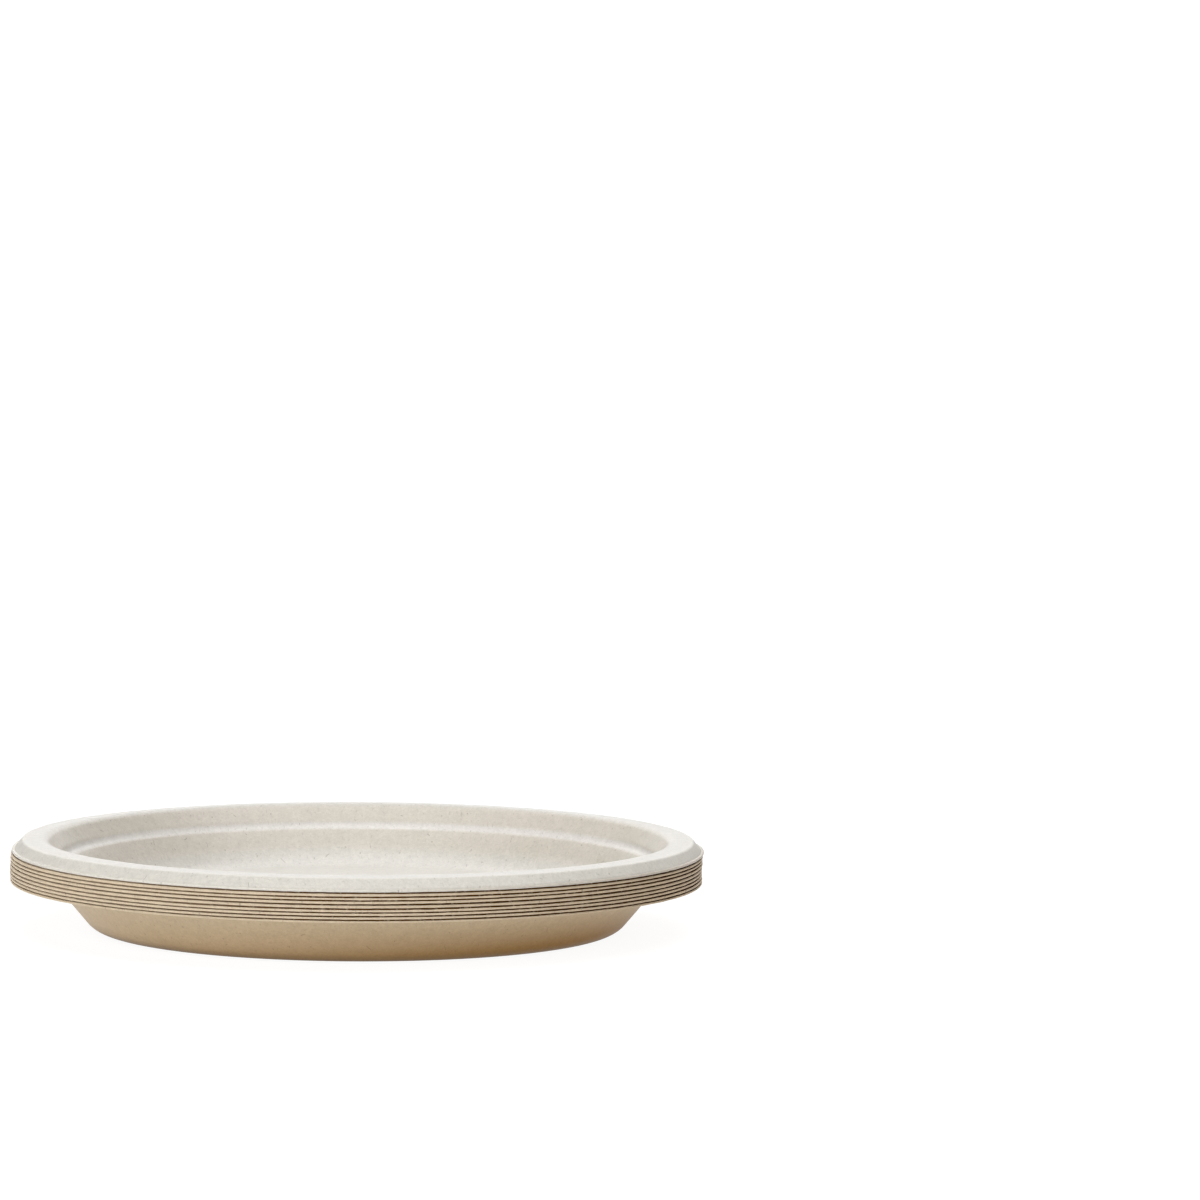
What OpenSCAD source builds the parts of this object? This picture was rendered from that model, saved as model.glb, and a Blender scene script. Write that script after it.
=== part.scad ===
/* [Stack] */
// Number of plates in the stack
plate_count = 9; // [2:1:16]
// Smallest gap between the sloping faces of two nested plates
nest_gap = 0.02; // [0.01:0.01:0.3]
// Height by which each plate rides above a close fit, bottom plate first
ride_up = [0, 0, 0.27, 0, 0.27, 0.42, 0.05, 0.12, 0.42]; // [0:0.01:1]
// Direction in which each plate has slid on the one below, bottom plate first
slide_dir = [0, 0, 230, 0, 70, 300, 160, 20, 350]; // [0:5:360]
// Share of its sideways play that each plate has slid
slide_share = 0.9; // [0:0.05:1]

/* [Plate] */
// Diameter over the rim
plate_d = 229; // [180:1:300]
// Height from the underside of the floor to the top of the crown
plate_h = 20.5; // [17:0.5:30]
// Thickness of the moulded sheet
sheet_t = 0.65; // [0.4:0.05:1]

/* [Wall] */
// Slope of the wall between the floor and the crown
wall_a = 50; // [35:1:60]
// Radius of the bend from the floor into the wall, at mid sheet
base_r = 8; // [4:0.5:14]
// Radius of the bend from the wall into the crown, at mid sheet
brow_r = 3.6; // [1.5:0.1:6]

/* [Rim] */
// Length of the nearly flat crown of the rim
crown_w = 5; // [2:0.1:10]
// Angle at which the crown falls away outwards
crown_fall = 4; // [0:0.5:10]
// Radius of the rounded shoulder outside the crown, at mid sheet
shoulder_r = 1.2; // [0.8:0.1:2]
// Slope of the lip below the shoulder
lip_a = 50; // [35:1:60]
// Height from the top of the crown down to the underside of the flange
lip_drop = 4.3; // [3.8:0.1:7]
// Radius of the bend from the lip into the flange, at mid sheet
foot_r = 0.7; // [0.6:0.1:1.2]
// Width of the small flat flange at the edge, without its round end
flange_w = 0.3; // [0.2:0.1:3]
// Share of the gap between two nested flanges by which the cut edge is swollen
edge_swell = 0.35; // [0:0.05:0.6]

/* [Ring] */
// Distance of the pressed ring from the top of the wall, down the slope
ring_down = 7.2; // [4:0.2:11]
// Width of the pressed ring on the slope
ring_w = 3.6; // [1.6:0.2:4]
// Depth of the pressed ring in the upper face
ring_deep = 0.3; // [0.1:0.02:0.34]

/* [Hidden] */
// Straight pieces in which each bend of the section is drawn
bend_steps = 6;
// Straight pieces in which the pressed ring is drawn
ring_steps = 6;
// Facets of a full turn where the model is shown as a mesh
turn_facets = 180;
pulp_color = [0.87, 0.84, 0.78];

half_t = sheet_t / 2;

// Nested plates lie closest where the sheet is steepest
steepest_a = max(wall_a, lip_a);
nest_lift = (sheet_t + nest_gap) / cos(steepest_a);

// Pulp swells where the edge is cut, by less than the gap that nesting leaves there
half_edge = (sheet_t + edge_swell * (nest_lift - sheet_t)) / 2;

// Places along the mid line of the sheet, worked out from the edge inwards
foot_x = plate_d / 2 - half_edge - flange_w;
flange_z = plate_h - lip_drop + half_t;
brow_z = plate_h - half_t - brow_r;
shoulder_z = brow_z + brow_r * cos(crown_fall) - crown_w * sin(crown_fall)
    - shoulder_r * cos(crown_fall);
lip_fall = shoulder_z + shoulder_r * cos(lip_a) - flange_z - foot_r * (1 - cos(lip_a));
shoulder_x = foot_x - (foot_r + shoulder_r) * sin(lip_a) - lip_fall / tan(lip_a);
brow_x = shoulder_x - crown_w * cos(crown_fall) - (brow_r - shoulder_r) * sin(crown_fall);
wall_rise = brow_z + brow_r * cos(wall_a) - half_t - base_r * (1 - cos(wall_a));
floor_x = brow_x - (brow_r + base_r) * sin(wall_a) - wall_rise / tan(wall_a);

// Centres of the bends
base_c = [floor_x, half_t + base_r];
brow_c = [brow_x, brow_z];
shoulder_c = [shoulder_x, shoulder_z];
foot_c = [foot_x, flange_z + foot_r];
edge_c = [plate_d / 2 - half_edge, flange_z];

// The wall's direction up the slope, and the way its upper face looks
slope_dir = [cos(wall_a), sin(wall_a)];
face_dir = [-sin(wall_a), cos(wall_a)];
ring_c = brow_c + (brow_r + half_t) * face_dir - ring_down * slope_dir;

function at(centre, radius, a) = centre + radius * [cos(a), sin(a)];

function bend(centre, radius, from_a, to_a) =
    [for (i = [0 : bend_steps]) at(centre, radius, from_a + (to_a - from_a) * i / bend_steps)];

// A shallow hollow across the upper face of the wall
function pressed_ring() =
    [for (i = [0 : ring_steps])
        let (u = 2 * i / ring_steps - 1)
        ring_c + u * ring_w / 2 * slope_dir - ring_deep * (1 - u * u) * face_dir];

function upper_face() = concat(
    [[0, sheet_t]],
    bend(base_c, base_r - half_t, -90, wall_a - 90),
    pressed_ring(),
    bend(brow_c, brow_r + half_t, 90 + wall_a, 90),
    [at(brow_c, brow_r + half_t, 90 - crown_fall)],
    bend(shoulder_c, shoulder_r + half_t, 90 - crown_fall, 90 - lip_a),
    bend(foot_c, foot_r - half_t, -90 - lip_a, -90)
);

function under_face() = concat(
    bend(foot_c, foot_r + half_t, -90, -90 - lip_a),
    bend(shoulder_c, shoulder_r - half_t, 90 - lip_a, 90 - crown_fall),
    [at(brow_c, brow_r - half_t, 90 - crown_fall)],
    bend(brow_c, brow_r - half_t, 90, 90 + wall_a),
    bend(base_c, base_r + half_t, wall_a - 90, -90),
    [[0, 0]]
);

function plate_section() = concat(upper_face(), bend(edge_c, half_edge, 90, -90), under_face());

// Play and direction come round again on stacks with more plates than the lists name
function play(i) = ride_up[i % len(ride_up)];
function heading(i) = slide_dir[i % len(slide_dir)];
function lift(i) = i == 0 ? 0 : lift(i - 1) + nest_lift + play(i);

// A plate that rides up by h can slide h / tan(a) before it meets the plate below
function slide(i) = i == 0 ? [0, 0] : slide(i - 1)
    + slide_share * play(i) / tan(steepest_a) * [cos(heading(i)), sin(heading(i))];
slides = [for (i = [0 : plate_count - 1]) slide(i)];

function middle(axis) = (min([for (s = slides) s[axis]]) + max([for (s = slides) s[axis]])) / 2;

module plate(i) {
    color(pulp_color)
        translate([slides[i][0] - middle(0), slides[i][1] - middle(1), lift(i)])
            rotate_extrude($fn = turn_facets)
                polygon(plate_section());
}

for (i = [0 : plate_count - 1])
    plate(i);
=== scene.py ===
# Stack of nested plates pressed from plant fibre pulp
import bpy
import math
from mathutils import Matrix, Quaternion, Vector, noise


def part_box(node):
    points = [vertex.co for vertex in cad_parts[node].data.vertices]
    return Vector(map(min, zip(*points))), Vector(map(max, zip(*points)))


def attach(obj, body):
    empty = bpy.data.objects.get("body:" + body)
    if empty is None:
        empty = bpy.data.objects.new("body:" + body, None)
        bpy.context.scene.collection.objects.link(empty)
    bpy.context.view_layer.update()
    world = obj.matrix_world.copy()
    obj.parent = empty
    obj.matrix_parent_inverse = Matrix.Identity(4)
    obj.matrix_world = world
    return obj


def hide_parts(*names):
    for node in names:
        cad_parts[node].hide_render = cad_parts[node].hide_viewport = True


mm = 0.001


print("Loading the packed plates")
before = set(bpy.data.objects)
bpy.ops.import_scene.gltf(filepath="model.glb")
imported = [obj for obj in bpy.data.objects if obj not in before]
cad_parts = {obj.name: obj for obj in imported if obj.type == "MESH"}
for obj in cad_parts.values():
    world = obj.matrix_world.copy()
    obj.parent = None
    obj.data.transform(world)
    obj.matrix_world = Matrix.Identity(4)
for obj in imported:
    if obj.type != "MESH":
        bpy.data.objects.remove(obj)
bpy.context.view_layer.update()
plateNames = sorted(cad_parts, key=lambda name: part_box(name)[0].z)
lowestPlate, topPlate = plateNames[0], plateNames[-1]

# The section of one plate, in millimetres and degrees, the same as the solids have
plateShape = {
    "height": 20.5,
    "sheet": 0.65,
    "wallSlope": 50,
    "baseBend": 8.0,
    "browBend": 3.6,
    "crownWidth": 5.0,
    "crownFall": 4,
    "shoulderBend": 1.2,
    "lipSlope": 50,
    "lipDrop": 4.3,
    "footBend": 0.7,
    "flangeWidth": 0.3,
    "cutEdge": 0.787,       # thickness of the swollen cut edge
    "ringDown": 7.2,
    "ringWidth": 3.6,
    "ringDepth": 0.3,
}

# How finely each plate is turned, and how uneven the pressed pulp is, in millimetres
plateFinish = {
    "turnSteps": 640,
    "footSteps": 4,         # of the bend from the lip into the flange
    "cutSteps": 10,         # of the round cut edge
    "ringReach": 0.6,       # how far the ring's soft brims reach each way, as a share of its width
    "ringBrim": 0.8,        # how soft the brims are: 1 is a plain wave, and less is fuller
    "edgeWave": 0.09,       # how far a rim edge wanders up and down along its round
    "edgeLift": 0.08,       # how far drying has lifted the rim edges
    "edgeSwell": 0.07,      # how much the cut edge thickens and thins, on each face
    "edgeThin": 0.045,      # how much thinner, on each face, the edges are on one side
    "thinTowards": -30,     # the direction of that side
    "edgeNick": 0.07,       # how far the cut edge is nibbled inwards
    "edgeBlend": 0.6,       # how far in from the flange's bend the unevenness fades out
    "rimLine": 0.32,        # what stays open between two rims, whose edges fill the rest
}

# The rim's unevenness: a steady part, and waves with their number round the rim, share and seed
rimWaves = {
    "wave": (0.0, ((9, 0.35, 0), (60, 0.15, 3))),
    "swell": (-0.4, ((40, 0.3, 11), (290, 0.7, 17))),
    "nick": (0.5, ((90, 0.25, 31), (400, 0.25, 37))),
}

# Points along each part of the section, where the face is open to view and where it is hidden
shownSteps = {"floor": 12, "bend": 10, "wall": 6, "ring": 12, "crown": 5, "small": 6, "lip": 5}
hiddenSteps = {"floor": 3, "bend": 6, "wall": 1, "ring": 6, "crown": 1, "small": 4, "lip": 2}

# Each point of the section says how much it belongs to each of these, for the pulp material
zones = ("floor", "ring", "crown", "lip", "cut", "deep", "under", "underShade", "nearFloorShade")
zoneShares = {
    "comeIn": 1.6,          # how quickly the painted light of the ring and the crown comes in
    "openCrease": 0.35,     # painted crease shade between the lip and the flange, where it is open to view
    "cutRim": 0.85,         # painted crease shade on both rims of the cut edge
    "besideRim": 0.4,       # painted crease shade on the next points of the cut edge
    "shadeBrownWall": 0.7,     # painted shade under the bend from the floor into the wall, growing down the wall
    "shadeBrownFloor": 0.5,    # painted shade under the floor
    "nearFloorShadeStart": 0.15,    # painted contact shade where the underside starts to bend into the floor
}


def polar(centre, radius, angle):
    a = math.radians(angle)
    return (centre[0] + radius * math.cos(a), centre[1] + radius * math.sin(a))


def bend(centre, radius, fromAngle, toAngle, steps, **marks):
    turn = toAngle - fromAngle
    return [(*polar(centre, radius, fromAngle + turn * i / steps), marks) for i in range(steps + 1)]


# Points between two ends, without the ends
def stretch(start, end, steps, **marks):
    points = []
    for i in range(1, steps):
        t = i / steps
        points.append((start[0] + (end[0] - start[0]) * t, start[1] + (end[1] - start[1]) * t, marks))
    return points


# Centres of the bends, worked out from the edge inwards along the middle of the sheet
def bendCentres(radius, shape):
    half, halfCut = shape["sheet"] / 2, shape["cutEdge"] / 2
    wall, lip, fall = (math.radians(shape[k]) for k in ("wallSlope", "lipSlope", "crownFall"))
    rBase, rBrow, rShoulder, rFoot = (
        shape[k] for k in ("baseBend", "browBend", "shoulderBend", "footBend"))
    crown, rounder = shape["crownWidth"], rBrow - rShoulder
    footX = radius - halfCut - shape["flangeWidth"]
    flangeZ = shape["height"] - shape["lipDrop"] + half
    browZ = shape["height"] - half - rBrow
    shoulderZ = browZ + rounder * math.cos(fall) - crown * math.sin(fall)
    lipFall = shoulderZ + rShoulder * math.cos(lip) - flangeZ - rFoot * (1 - math.cos(lip))
    shoulderX = footX - (rFoot + rShoulder) * math.sin(lip) - lipFall / math.tan(lip)
    browX = shoulderX - crown * math.cos(fall) - rounder * math.sin(fall)
    wallRise = browZ + rBrow * math.cos(wall) - half - rBase * (1 - math.cos(wall))
    floorX = browX - (rBrow + rBase) * math.sin(wall) - wallRise / math.tan(wall)
    return {
        "base": (floorX, half + rBase),
        "brow": (browX, browZ),
        "shoulder": (shoulderX, shoulderZ),
        "foot": (footX, flangeZ + rFoot),
        "edge": (radius - halfCut, flangeZ),
    }


# A shallow hollow with soft brims across the upper face of the wall
def pressedRing(shape, brow, steps):
    wall = math.radians(shape["wallSlope"])
    slope = (math.cos(wall), math.sin(wall))
    out = (-math.sin(wall), math.cos(wall))
    ring = []
    for i in range(steps + 1):
        u = 2 * i / steps - 1
        sunk = (0.5 + 0.5 * math.cos(math.pi * u)) ** plateFinish["ringBrim"]
        along = u * shape["ringWidth"] * plateFinish["ringReach"] - shape["ringDown"]
        off = shape["browBend"] + shape["sheet"] / 2 - shape["ringDepth"] * sunk
        ring.append((brow[0] + along * slope[0] + off * out[0],
                     brow[1] + along * slope[1] + off * out[1],
                     {"ring": min(1.0, zoneShares["comeIn"] * (1 - abs(u)))}))
    return ring


# From the middle of the floor out to the flange
def upperFace(shape, at, steps, crease):
    half, level = shape["sheet"] / 2, shape["sheet"]
    wallA, lipA, fallA = shape["wallSlope"], shape["lipSlope"], shape["crownFall"]
    rBrow, rShoulder, rFoot = (
        shape["browBend"] + half, shape["shoulderBend"] + half, shape["footBend"] - half)
    ring = pressedRing(shape, at["brow"], steps["ring"])
    face = [(0.0, level, {"floor": 1})]
    face += stretch((0, level), (at["base"][0], level), steps["floor"], floor=1)
    face += bend(at["base"], shape["baseBend"] - half, -90, wallA - 90, steps["bend"], floor=1)
    # the floor's lighter colour, painted light, fades over the first half of the way to the ring
    for i, (r, z, marks) in enumerate(stretch(face[-1][:2], ring[0][:2], steps["wall"]), 1):
        face.append((r, z, {"floor": max(0.0, 1 - 2 * i / steps["wall"])}))
    face += ring
    face += stretch(ring[-1][:2], polar(at["brow"], rBrow, 90 + wallA), steps["wall"])
    for i, (r, z, marks) in enumerate(bend(at["brow"], rBrow, 90 + wallA, 90 - fallA, steps["bend"])):
        face.append((r, z, {"crown": min(1.0, zoneShares["comeIn"] * i / steps["bend"])}))
    face += stretch(face[-1][:2], polar(at["shoulder"], rShoulder, 90 - fallA), steps["crown"], crown=1)
    face += bend(at["shoulder"], rShoulder, 90 - fallA, 90 - lipA, steps["small"], crown=1, lip=1)
    # a hidden lip gets the painted crease shade, because it is what shows between two rims
    tucked = 0 if steps is shownSteps else 1
    face += stretch(face[-1][:2], polar(at["foot"], rFoot, -90 - lipA), steps["lip"],
                    crown=1, lip=1, deep=tucked)
    face += bend(at["foot"], rFoot, -90 - lipA, -90, plateFinish["footSteps"],
                 crown=1, lip=1, deep=crease)
    return face


# Round the edge from the upper face to the lower one, with painted crease shade on both rims
def cutFace(shape, at, crease):
    steps = plateFinish["cutSteps"]
    face = bend(at["edge"], shape["cutEdge"] / 2, 90, -90, steps, cut=1)
    rim, beside = zoneShares["cutRim"], zoneShares["besideRim"]
    for i, depth in ((0, rim * crease), (1, beside * crease), (steps - 1, beside), (steps, rim)):
        face[i] = (*face[i][:2], {"cut": 1, "deep": depth})
    return face


# From the flange back to the middle of the floor
def underFace(shape, at, steps):
    half = shape["sheet"] / 2
    wallA, lipA, fallA = shape["wallSlope"], shape["lipSlope"], shape["crownFall"]
    rBase, rBrow, rShoulder, rFoot = (
        shape["baseBend"] + half, shape["browBend"] - half, shape["shoulderBend"] - half,
        shape["footBend"] + half)
    tucked = 0 if steps is shownSteps else 1
    face = bend(at["foot"], rFoot, -90, -90 - lipA, plateFinish["footSteps"], deep=1, under=1)
    face += stretch(face[-1][:2], polar(at["shoulder"], rShoulder, 90 - lipA), steps["lip"],
                    under=1, deep=tucked)
    face += bend(at["shoulder"], rShoulder, 90 - lipA, 90 - fallA, steps["small"], under=1)
    face += bend(at["brow"], rBrow, 90 - fallA, 90 + wallA, steps["bend"], under=1)
    # painted shade: browner the lower it lies, and darker still where it bends into the floor
    start, end = face[-1][:2], polar(at["base"], rBase, wallA - 90)
    shadeBrown = zoneShares["shadeBrownWall"]
    for r, z, marks in stretch(start, end, steps["wall"] + 1):
        face.append((r, z, {"under": 1, "underShade": shadeBrown * (start[1] - z) / (start[1] - end[1])}))
    for r, z, marks in bend(at["base"], rBase, wallA - 90, -90, steps["bend"]):
        nearFloorShade = min(1.0, zoneShares["nearFloorShadeStart"] + (end[1] - z) / end[1])
        face.append((r, z, {"under": 1, "underShade": shadeBrown, "nearFloorShade": nearFloorShade}))
    floorMarks = {"under": 1, "underShade": zoneShares["shadeBrownFloor"]}
    face += stretch((at["base"][0], 0), (0, 0), steps["floor"], **floorMarks)
    return face + [(0.0, 0.0, floorMarks)]


# Slow random wander round the rim, between -1 and 1, that meets itself after a full turn
def wander(angle, wavesRound, seed):
    gain, seedStep = 1.7, 7.31      # the noise seldom reaches 1 by itself, and seeds lie far apart
    r = wavesRound / math.tau
    spot = Vector((r * math.cos(angle), r * math.sin(angle), seed * seedStep))
    return max(-1.0, min(1.0, gain * noise.noise(spot)))


def unevenness(kind, angle, seed):
    total, waves = rimWaves[kind]
    for count, share, own in waves:
        total += share * wander(angle, count, seed + own)
    return total


# Extra thickness on top of each rim, half of what the next plate leaves open beyond the line
floorHeights = [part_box(name)[0].z / mm for name in plateNames]
swellUp = [max(0.0, above - below - plateShape["cutEdge"] - plateFinish["rimLine"]) / 2
           for below, above in zip(floorHeights, floorHeights[1:])] + [0.0]
swellDown = [0.0] + swellUp[:-1]


# How far each point takes part in the rim's unevenness, on which face it lies, and its thickening
def rimParts(section, at, number):
    footX, flangeZ = at["foot"][0], at["edge"][1]
    halfCut, fade = plateShape["cutEdge"] / 2, plateFinish["edgeBlend"]
    parts = []
    for r, z, marks in section:
        isRim = abs(z - flangeZ) < plateShape["cutEdge"]
        share = max(0.0, min(1.0, (r - footX + fade) / fade)) if isRim else 0.0
        side = max(-1.0, min(1.0, (z - flangeZ) / halfCut))
        fill = swellUp[number - 1] if side > 0 else swellDown[number - 1]
        parts.append((share, side, share * side * fill))
    return parts


def turnPlate(name, number):
    low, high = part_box(name)
    centre = Vector(((low.x + high.x) / 2, (low.y + high.y) / 2, low.z))
    at = bendCentres((high.x - low.x) / 2 / mm, plateShape)
    # how much painted crease shade the rim gets: less on the top plate, where it is open to view
    crease = zoneShares["openCrease"] if name == topPlate else 1
    section = upperFace(plateShape, at, shownSteps if name == topPlate else hiddenSteps, crease)
    section += cutFace(plateShape, at, crease)
    section += underFace(plateShape, at, shownSteps if name == lowestPlate else hiddenSteps)
    parts = rimParts(section, at, number)

    finish = plateFinish
    turnSteps, count = finish["turnSteps"], len(section)
    points = []
    for k in range(turnSteps):
        angle = math.tau * k / turnSteps
        c, s = math.cos(angle), math.sin(angle)
        wave = finish["edgeWave"] * unevenness("wave", angle, number)
        swell = finish["edgeSwell"] * unevenness("swell", angle, number)
        swell -= finish["edgeThin"] * math.cos(angle - math.radians(finish["thinTowards"]))
        nick = finish["edgeNick"] * unevenness("nick", angle, number)
        for (r, z, marks), (share, side, fill) in zip(section, parts):
            if share:
                z += fill + share * (swell * side + wave + finish["edgeLift"])
                r -= share * share * nick
            points.append((centre.x + r * c * mm, centre.y + r * s * mm, centre.z + z * mm))
    # both ends of the section lie on the axis, where one point serves the whole turn
    faces = []
    for k in range(turnSteps):
        a, b = k * count, (k + 1) % turnSteps * count
        faces.append((0, b + 1, a + 1))
        faces += [(a + i, b + i, b + i + 1, a + i + 1) for i in range(1, count - 2)]
        faces.append((a + count - 2, b + count - 2, count - 1))
    spare = {k * count + i for k in range(1, turnSteps) for i in (0, count - 1)}
    keep = [i for i in range(len(points)) if i not in spare]
    place = {old: new for new, old in enumerate(keep)}

    mesh = bpy.data.meshes.new("pressed_" + name)
    mesh.from_pydata([points[i] for i in keep], [], [[place[i] for i in face] for face in faces])
    for zone in zones:
        along = [float(marks.get(zone, 0.0)) for r, z, marks in section]
        layer = mesh.attributes.new(zone, "FLOAT", "POINT")
        layer.data.foreach_set("value", [along[i % count] for i in keep])
    mesh.shade_smooth()
    mesh.update()
    piece = bpy.data.objects.new("pressed_" + name, mesh)
    bpy.context.scene.collection.objects.link(piece)
    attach(piece, "root")
    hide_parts(name)
    return piece


# Colours are linear red, green, blue
pulpLook = {
    "face": (0.605, 0.563, 0.49),
    "faceBlotch": (0.63, 0.58, 0.512),
    # painted light: the up-facing floor, the ring's ledge, the crown and the lip are lighter or whiter
    # than the face
    "floor": (0.70, 0.675, 0.625),
    "ringBand": (0.74, 0.71, 0.67),
    "crown": (0.605, 0.58, 0.537),
    "lip": (0.63, 0.605, 0.55),
    # painted shade: the underside is darker and warmer than the face
    "underside": (0.54, 0.443, 0.31),
    # painted shade, brown, for the underside and the right-hand cut edges
    "shadeBrown": (0.23, 0.12, 0.03),
    # painted shade in the creases between the rims
    "crease": (0.15, 0.06, 0.008),
    # painted contact shade where the underside bends into the floor
    "nearFloorShadeColour": (0.12, 0.065, 0.02),
    "fibre": (0.10, 0.07, 0.045),
    "roughness": 0.38,
    "glossy": 0.5,          # of the pressed upper face
    "dull": 0.03,           # of the underside, the cut edge and the creases
    "crownWear": 0.5,       # how far the crown is on its way from glossy to dull
    "sheen": 0.02,
    "sheenRoughness": 0.4,
    "bumpStrength": 0.8,
    "patternShift": (0.37, 0.53, 0.11),     # from plate to plate, so that no two look alike
}

# Each plate's cut edge: its colour, lighter on the top plate and darker below as painted light and
# shade, its painted shade on the right-hand side, and how dark its painted crease shade is
edgeLook = {name: {"colour": (0.625, 0.515, 0.375), "shadeRight": 0.22, "creases": 0.97}
            for name in plateNames}
edgeLook[lowestPlate]["colour"] = (0.57, 0.465, 0.33)
edgeLook[topPlate] = {"colour": (0.675, 0.645, 0.58), "shadeRight": 0.3, "creases": 0.3}

# Painted shade that changes across the stack: from which x to which, in metres, and from how much to
# how much
acrossStack = {
    "underShade": (-0.1, 0.09, 0.62, 1.55),      # painted shade of the underside, deeper to the right
    "creaseShade": (-0.11, -0.015, 0.3, 1.0),     # painted shade of the creases, darker to the right
    "edge": (0.0, 0.09, 0.0, 1.0),          # painted shade of the cut edges, towards the right
}

# Noise: its scale, detail and roughness, from which to which value it is used, and what that gives
pulpNoise = {
    "blotch": (36, 2, 0.5, 0.40, 0.62, 0.0, 1.0),
    "creaseShadeBreaks": (800, 2, 0.6, 0.58, 0.66, 1.0, 0.4),     # where the painted crease shade is broken up
    "mottle": (300, 2, 0.6, 0.35, 0.65, -0.03, 0.03),
    "stipple": (900, 2, 0.6, 0.35, 0.65, -0.04, 0.04),
    "grain": (2100, 3, 0.7, 0.3, 0.7, -0.07, 0.07),
}

# Noise: its scale, detail and roughness, and how far it raises the surface, in metres
pulpRelief = ((1500, 3, 0.6, 0.00005), (120, 2, 0.5, 0.00014))

# Dark bits: their cells, half length and half width in metres, the share of cells that have one,
# the turn of their pattern in radians, and how dark they are
pulpFlecks = {
    "hairs": (0.011, 0.0009, 0.00011, 0.55, 0.7, 0.5),
    "specks": (0.007, 0.00012, 0.00024, 0.6, 2.1, 0.36),
    "faint": (0.0026, 0.0004, 0.00016, 0.65, 4.4, 0.17),
}
fleckForm = {
    "bow": 1.4,             # how curved each one is
    "core": 0.45,           # the share of its width that is fully dark
    "evenness": 0.4,        # how alike their lengths are: 0 gives all lengths
}


def pulpMaterial(name, seed, edge):
    look = pulpLook
    mat = bpy.data.materials.new(name)
    mat.use_nodes = True
    nodes, links = mat.node_tree.nodes, mat.node_tree.links
    shader = nodes["Principled BSDF"]
    shader.inputs["Roughness"].default_value = look["roughness"]
    shader.inputs["Sheen Weight"].default_value = look["sheen"]
    shader.inputs["Sheen Roughness"].default_value = look["sheenRoughness"]

    # each plate takes its patterns from another place of the noise
    coords = nodes.new("ShaderNodeTexCoord")
    shift = nodes.new("ShaderNodeVectorMath")
    shift.operation = "ADD"
    shift.inputs[1].default_value = [seed * step for step in look["patternShift"]]
    links.new(coords.outputs["Object"], shift.inputs[0])
    place = shift.outputs[0]

    def feed(socket, value):
        if isinstance(value, bpy.types.NodeSocket):
            links.new(value, socket)
        else:
            socket.default_value = value

    def cloud(scale, detail, rough):
        n = nodes.new("ShaderNodeTexNoise")
        for socket, number in (("Scale", scale), ("Detail", detail), ("Roughness", rough)):
            n.inputs[socket].default_value = number
        links.new(place, n.inputs["Vector"])
        return n.outputs["Fac"]

    def spread(value, fromLow, fromHigh, toLow=0.0, toHigh=1.0):
        m = nodes.new("ShaderNodeMapRange")
        for socket, number in (("From Min", fromLow), ("From Max", fromHigh),
                               ("To Min", toLow), ("To Max", toHigh)):
            m.inputs[socket].default_value = number
        links.new(value, m.inputs["Value"])
        return m.outputs["Result"]

    def pattern(kind, share=1.0):
        scale, detail, rough, fromLow, fromHigh, toLow, toHigh = pulpNoise[kind]
        return spread(cloud(scale, detail, rough), fromLow, fromHigh, toLow * share, toHigh * share)

    def maths(operation, a, b=0.0):
        m = nodes.new("ShaderNodeMath")
        m.operation = operation
        feed(m.inputs[0], a)
        feed(m.inputs[1], b)
        return m.outputs[0]

    def blend(share, low, high):
        m = nodes.new("ShaderNodeMix")
        m.data_type = "RGBA"
        for key, colour in (("A_Color", low), ("B_Color", high)):
            socket = next(s for s in m.inputs if s.identifier == key)
            feed(socket, (*colour, 1) if isinstance(colour, tuple) else colour)
        feed(m.inputs[0], share)
        return next(s for s in m.outputs if s.identifier == "Result_Color")

    def mark(zone):
        a = nodes.new("ShaderNodeAttribute")
        a.attribute_name = zone
        return a.outputs["Fac"]

    def parts(vector):
        p = nodes.new("ShaderNodeSeparateXYZ")
        links.new(vector, p.inputs[0])
        return p.outputs

    def across(kind, share=1.0):
        fromX, toX, least, most = acrossStack[kind]
        return spread(x, fromX, toX, least * share, most * share)

    # random curved strokes, one at most in each cell of a pattern laid over the plate from above
    def flecks(cell, halfLength, halfWidth, keep, turn):
        evenness = fleckForm["evenness"]
        flat = nodes.new("ShaderNodeMapping")
        flat.inputs["Rotation"].default_value = (0, 0, turn)
        flat.inputs["Scale"].default_value = (1 / cell, 1 / cell, 0)
        links.new(place, flat.inputs["Vector"])
        cells = nodes.new("ShaderNodeTexVoronoi")
        cells.voronoi_dimensions = "2D"
        cells.inputs["Scale"].default_value = 1
        links.new(flat.outputs[0], cells.inputs["Vector"])
        away = nodes.new("ShaderNodeVectorMath")
        away.operation = "SUBTRACT"
        links.new(flat.outputs[0], away.inputs[0])
        links.new(cells.outputs["Position"], away.inputs[1])
        luck = parts(cells.outputs["Color"])
        spin = nodes.new("ShaderNodeVectorRotate")
        spin.rotation_type = "Z_AXIS"
        links.new(away.outputs[0], spin.inputs["Vector"])
        links.new(maths("MULTIPLY", luck["X"], math.tau), spin.inputs["Angle"])
        local = parts(spin.outputs[0])
        curve = maths("MULTIPLY", maths("MULTIPLY", local["X"], local["X"]), fleckForm["bow"])
        beside = maths("ABSOLUTE", maths("SUBTRACT", local["Y"], curve))
        longest = halfLength / cell / (1 + evenness)
        reach = maths("MULTIPLY", maths("ADD", luck["Z"], evenness), longest)
        past = maths("MAXIMUM", maths("SUBTRACT", maths("ABSOLUTE", local["X"]), reach), 0.0)
        squares = maths("ADD", maths("MULTIPLY", past, past), maths("MULTIPLY", beside, beside))
        edgeAt = halfWidth / cell
        stroke = spread(maths("SQRT", squares), edgeAt, edgeAt * fleckForm["core"])
        return maths("MULTIPLY", stroke, maths("LESS_THAN", luck["Y"], keep))

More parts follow.
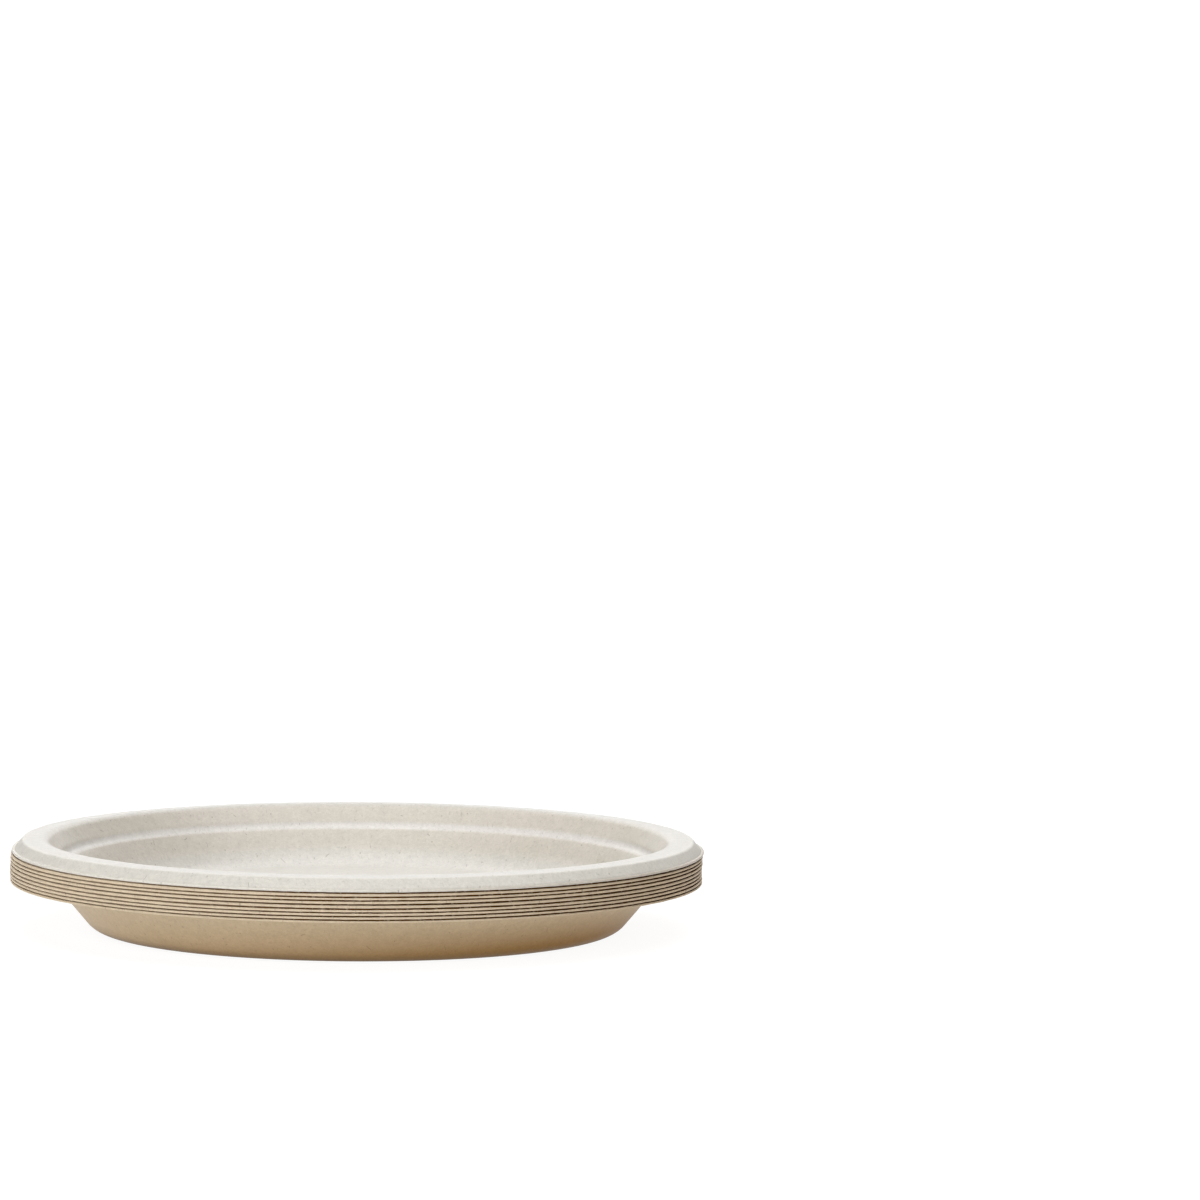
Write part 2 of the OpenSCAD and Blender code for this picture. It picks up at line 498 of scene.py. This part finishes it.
    x = parts(coords.outputs["Object"])["X"]
    colour = blend(pattern("blotch"), look["face"], look["faceBlotch"])
    # painted light: lighter colours on the floor, the ring, the crown and the lip
    for zone, key in (("floor", "floor"), ("ring", "ringBand"), ("crown", "crown"), ("lip", "lip")):
        colour = blend(mark(zone), colour, look[key])
    # painted shade: the underside darkens and browns towards the bottom and towards the right
    underShadeAmount = maths("MULTIPLY", mark("underShade"), across("underShade"))
    lower = blend(underShadeAmount, look["underside"], look["shadeBrown"])
    lower = blend(mark("nearFloorShade"), lower, look["nearFloorShadeColour"])
    colour = blend(mark("under"), colour, lower)
    # painted shade on the cut edges, browner towards the right
    cutColour = blend(across("edge", edge["shadeRight"]), edge["colour"], look["shadeBrown"])
    colour = blend(maths("MAXIMUM", mark("cut"), mark("deep")), colour, cutColour)
    # painted shade in the creases, broken up in patches and darker to the right
    creaseShade = maths("MULTIPLY", pattern("creaseShadeBreaks", edge["creases"]), across("creaseShade"))
    colour = blend(maths("MULTIPLY", mark("deep"), creaseShade), colour, look["crease"])
    shades = maths("ADD", pattern("mottle"), pattern("stipple"))
    tone = maths("ADD", shades, maths("ADD", pattern("grain"), 1.0))
    tinted = nodes.new("ShaderNodeVectorMath")
    tinted.operation = "SCALE"
    links.new(colour, tinted.inputs[0])
    links.new(tone, tinted.inputs["Scale"])
    colour = tinted.outputs[0]
    for *form, darkness in pulpFlecks.values():
        colour = blend(maths("MULTIPLY", flecks(*form), darkness), colour, look["fibre"])
    links.new(colour, shader.inputs["Base Color"])
    worn = maths("MAXIMUM", mark("under"), maths("MULTIPLY", mark("crown"), look["crownWear"]))
    dulled = maths("MAXIMUM", worn, maths("MAXIMUM", mark("cut"), mark("deep")))
    gloss = spread(dulled, 0, 1, look["glossy"], look["dull"])
    links.new(gloss, shader.inputs["Specular IOR Level"])

    raised = [maths("MULTIPLY", cloud(*form), height) for *form, height in pulpRelief]
    bump = nodes.new("ShaderNodeBump")
    bump.inputs["Strength"].default_value = look["bumpStrength"]
    bump.inputs["Distance"].default_value = 1.0
    links.new(maths("ADD", *raised), bump.inputs["Height"])
    links.new(bump.outputs["Normal"], shader.inputs["Normal"])
    return mat


print("Turning the plates")
for number, name in enumerate(plateNames, 1):
    plate = turnPlate(name, number)
    plate.data.materials.append(pulpMaterial("pulp_" + name, number, edgeLook[name]))

# The photograph's camera, found by fitting the stack's traced outlines
camera = {
    "distance": 2.290,
    "elevation": 7.310,
    "roll": -0.241,
    "framePixels": 1200,
    "focalPixels": 6893,
    "originAt": (358.7, 929.5),   # where the middle of the footprint falls in the frame
    "sensorWidth": 36,
    "clip": (0.05, 200),
}


# Aims at the middle of the footprint, then turns until that falls on its place in the frame
def placeCamera(setup):
    e = math.radians(setup["elevation"])
    ahead = Vector((0, math.cos(e), -math.sin(e)))
    right = Vector((1, 0, 0))
    up = right.cross(ahead)
    spot = -ahead * setup["distance"]
    focal, middle = setup["focalPixels"], setup["framePixels"] / 2
    aside = math.atan2(setup["originAt"][0] - middle, focal)
    below = math.atan2((setup["originAt"][1] - middle) * math.cos(aside), focal)
    turn = Quaternion(up, aside)
    ahead, right = turn @ ahead, turn @ right
    tilt = Quaternion(right, below)
    ahead, up = tilt @ ahead, tilt @ up
    roll = Quaternion(ahead, math.radians(setup["roll"]))
    right, up = roll @ right, roll @ up
    data = bpy.data.cameras.new("camera")
    data.sensor_width = setup["sensorWidth"]
    data.lens = focal / setup["framePixels"] * data.sensor_width
    data.clip_start, data.clip_end = setup["clip"]
    holder = bpy.data.objects.new("camera", data)
    axes = Matrix((right, up, -ahead)).transposed().to_4x4()
    holder.matrix_world = Matrix.Translation(spot) @ axes
    bpy.context.scene.collection.objects.link(holder)
    bpy.context.scene.camera = holder


studio = {
    "floorHalf": 40.0,
    "floorDrop": 0.0001,        # how far the floor lies below the lowest plate
    "floorColour": (0.14, 0.14, 0.14),
    "floorGlow": 0.93,
    "floorRoughness": 0.9,
    "horizonGlow": 1.1,
    "horizonFade": (0.02, 0.05),    # heights on the sky between which its glow fades out
    # each soft light: the side it shines from, its strength and how many degrees across it is
    "softboxes": {
        "overhead": ((0.1, -0.1, 0.99), 2.2, 60),
        "behind": ((0.0, 0.82, 0.57), 1.4, 60),
        "right": ((0.9, 0.0, 0.44), 0.15, 60),
        "lowLeft": ((-0.93, -0.30, 0.12), 0.3, 60),
        "lowFrontLeft": ((-0.53, -0.84, 0.12), 2.25, 60),
    },
}


def layFloor():
    h = studio["floorHalf"]
    mesh = bpy.data.meshes.new("floor")
    mesh.from_pydata([(-h, -h, 0), (h, -h, 0), (h, h, 0), (-h, h, 0)], [], [(0, 1, 2, 3)])
    floor = bpy.data.objects.new("floor", mesh)
    floor.location.z = -studio["floorDrop"]
    mat = bpy.data.materials.new("floor_white")
    mat.use_nodes = True
    shader = mat.node_tree.nodes["Principled BSDF"]
    shader.inputs["Base Color"].default_value = (*studio["floorColour"], 1)
    shader.inputs["Roughness"].default_value = studio["floorRoughness"]
    shader.inputs["Specular IOR Level"].default_value = 0.0
    shader.inputs["Emission Color"].default_value = (1, 1, 1, 1)
    shader.inputs["Emission Strength"].default_value = studio["floorGlow"]
    mesh.materials.append(mat)
    bpy.context.scene.collection.objects.link(floor)


# The world only whitens what lies past the end of the floor
def lightStudio():
    world = bpy.data.worlds.new("studio")
    world.use_nodes = True
    nodes, links = world.node_tree.nodes, world.node_tree.links
    sky = nodes["Background"]
    coords = nodes.new("ShaderNodeTexCoord")
    axes = nodes.new("ShaderNodeSeparateXYZ")
    fade = nodes.new("ShaderNodeMapRange")
    fadeFrom, fadeTo = studio["horizonFade"]
    for socket, number in (("From Min", fadeFrom), ("From Max", fadeTo),
                           ("To Min", studio["horizonGlow"]), ("To Max", 0.0)):
        fade.inputs[socket].default_value = number
    links.new(coords.outputs["Generated"], axes.inputs[0])
    links.new(axes.outputs["Z"], fade.inputs["Value"])
    links.new(fade.outputs["Result"], sky.inputs["Strength"])
    sky.inputs["Color"].default_value = (1, 1, 1, 1)
    bpy.context.scene.world = world
    for name, (side, strength, degrees) in studio["softboxes"].items():
        light = bpy.data.lights.new(name, "SUN")
        light.energy = strength
        light.angle = math.radians(degrees)
        holder = bpy.data.objects.new(name, light)
        holder.rotation_mode = "QUATERNION"
        holder.rotation_quaternion = Vector(side).to_track_quat("Z", "Y")
        bpy.context.scene.collection.objects.link(holder)


print("Setting the floor, lights and camera")
layFloor()
lightStudio()
placeCamera(camera)
bpy.context.scene.view_settings.view_transform = "Standard"
